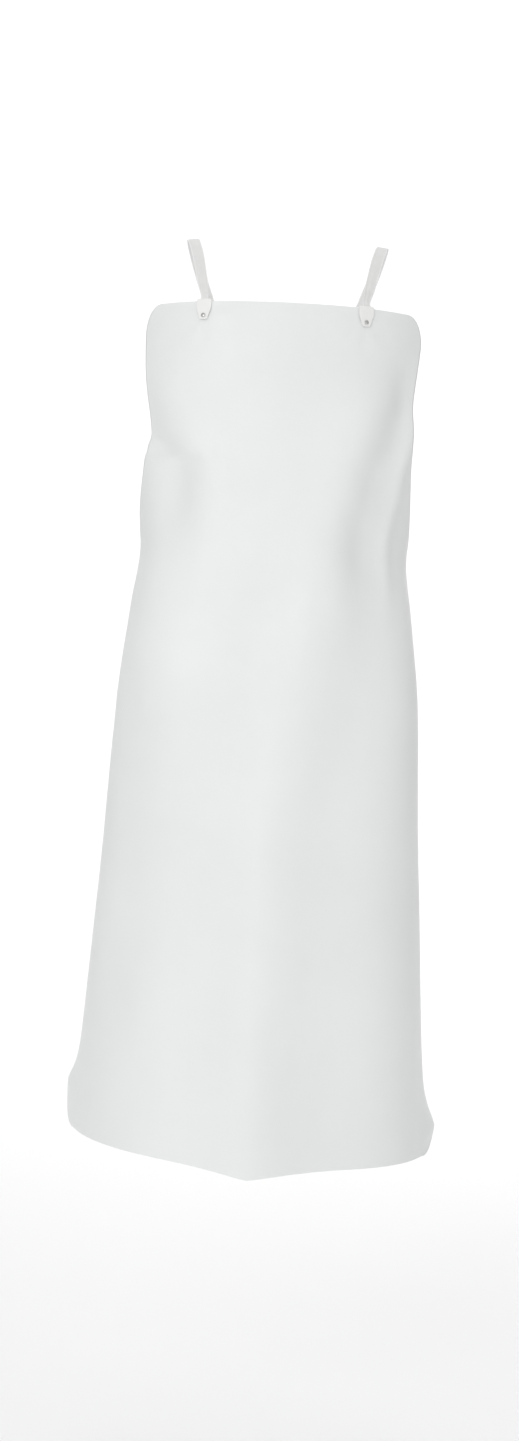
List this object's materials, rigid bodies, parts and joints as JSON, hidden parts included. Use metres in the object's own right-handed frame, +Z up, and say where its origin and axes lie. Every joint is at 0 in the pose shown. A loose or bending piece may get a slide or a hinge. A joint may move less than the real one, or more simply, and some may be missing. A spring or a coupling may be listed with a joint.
{
  "type": "butcher apron",
  "caption": "Long white wipe-clean bib apron, shown as worn, with cross-back straps, strap sliders, waist rings and a side-release buckle.",
  "frame": {"origin": "midway between the two shoulder crests, at the underside of the shoulder straps", "axes": "+Z up along the wearer's height, -Y to the wearer's front, +X to the wearer's left"},
  "size_m": [0.4674, 0.3107, 1.1906],
  "materials": {
    "apron_film": "smooth satin off-white film",
    "woven_tape": "flat woven white tape",
    "patch": "satin off-white welded patch",
    "moulding": "fine-grained white moulding",
    "steel": "dull stainless rivets"
  },
  "bodies": {
    "root": {"apron_panel": "apron_film", "back_patch": "patch", "back_rivet": "steel", "back_burr": "steel", "buckle_housing": "moulding", "left_bib_tab": "patch", "left_bib_rivet": "steel", "left_bib_burr": "steel", "left_shoulder_strap": "woven_tape", "left_ring_tab": "woven_tape", "left_ring_tab_rivet": "steel", "left_ring_tab_burr": "steel", "left_waist_strap": "woven_tape", "left_waist_rivet": "steel", "left_waist_burr": "steel", "right_bib_tab": "patch", "right_bib_rivet": "steel", "right_bib_burr": "steel", "right_shoulder_strap": "woven_tape", "right_ring_tab": "woven_tape", "right_ring_tab_rivet": "steel", "right_ring_tab_burr": "steel", "right_waist_strap": "woven_tape", "right_waist_rivet": "steel", "right_waist_burr": "steel"},
    "left_ring": {"left_waist_ring": "moulding"},
    "right_ring": {"right_waist_ring": "moulding"},
    "left_slider": {"left_waist_slider": "moulding"},
    "right_slider": {"right_waist_slider": "moulding"},
    "plug": {"buckle_plug": "moulding"},
    "upper_arm": {"buckle_upper_arm": "moulding"},
    "lower_arm": {"buckle_lower_arm": "moulding"}
  },
  "joints": [
    {"name": "left_ring_swing", "type": "hinge", "parent": "root", "child": "left_ring", "pos_m": [0.12387, 0.04329, -0.47837], "axis": [-0.7189, 0.4129, -0.5592], "range_deg": [-30, 45], "deforming": ["right_shoulder_strap"]},
    {"name": "right_ring_swing", "type": "hinge", "parent": "root", "child": "right_ring", "pos_m": [-0.12387, 0.04329, -0.47837], "axis": [-0.7189, -0.4129, 0.5592], "range_deg": [-30, 45], "deforming": ["left_shoulder_strap"]},
    {"name": "left_slider_slide", "type": "slide", "parent": "root", "child": "left_slider", "axis": [-0.4804, 0.2862, 0.829], "range_m": [-0.028, 0.04]},
    {"name": "right_slider_slide", "type": "slide", "parent": "root", "child": "right_slider", "axis": [0.4804, 0.2862, 0.829], "range_m": [-0.028, 0.04]},
    {"name": "buckle_release", "type": "slide", "parent": "root", "child": "plug", "axis": [-1, 0, 0], "range_m": [0, 0.03], "deforming": ["right_waist_strap", "buckle_upper_arm", "buckle_lower_arm"]},
    {"name": "upper_arm_squeeze", "type": "hinge", "parent": "plug", "child": "upper_arm", "pos_m": [-0.008, 0.112, -0.5253], "axis": [0, 1, 0], "range_deg": [0, 14], "stiffness_Nm_per_rad": 0.3},
    {"name": "lower_arm_squeeze", "type": "hinge", "parent": "plug", "child": "lower_arm", "pos_m": [-0.008, 0.112, -0.5387], "axis": [0, -1, 0], "range_deg": [0, 14], "stiffness_Nm_per_rad": 0.3}
  ],
  "couplings": [
    {"joint": "lower_arm_squeeze", "follows": "upper_arm_squeeze", "ratio": 1}
  ]
}
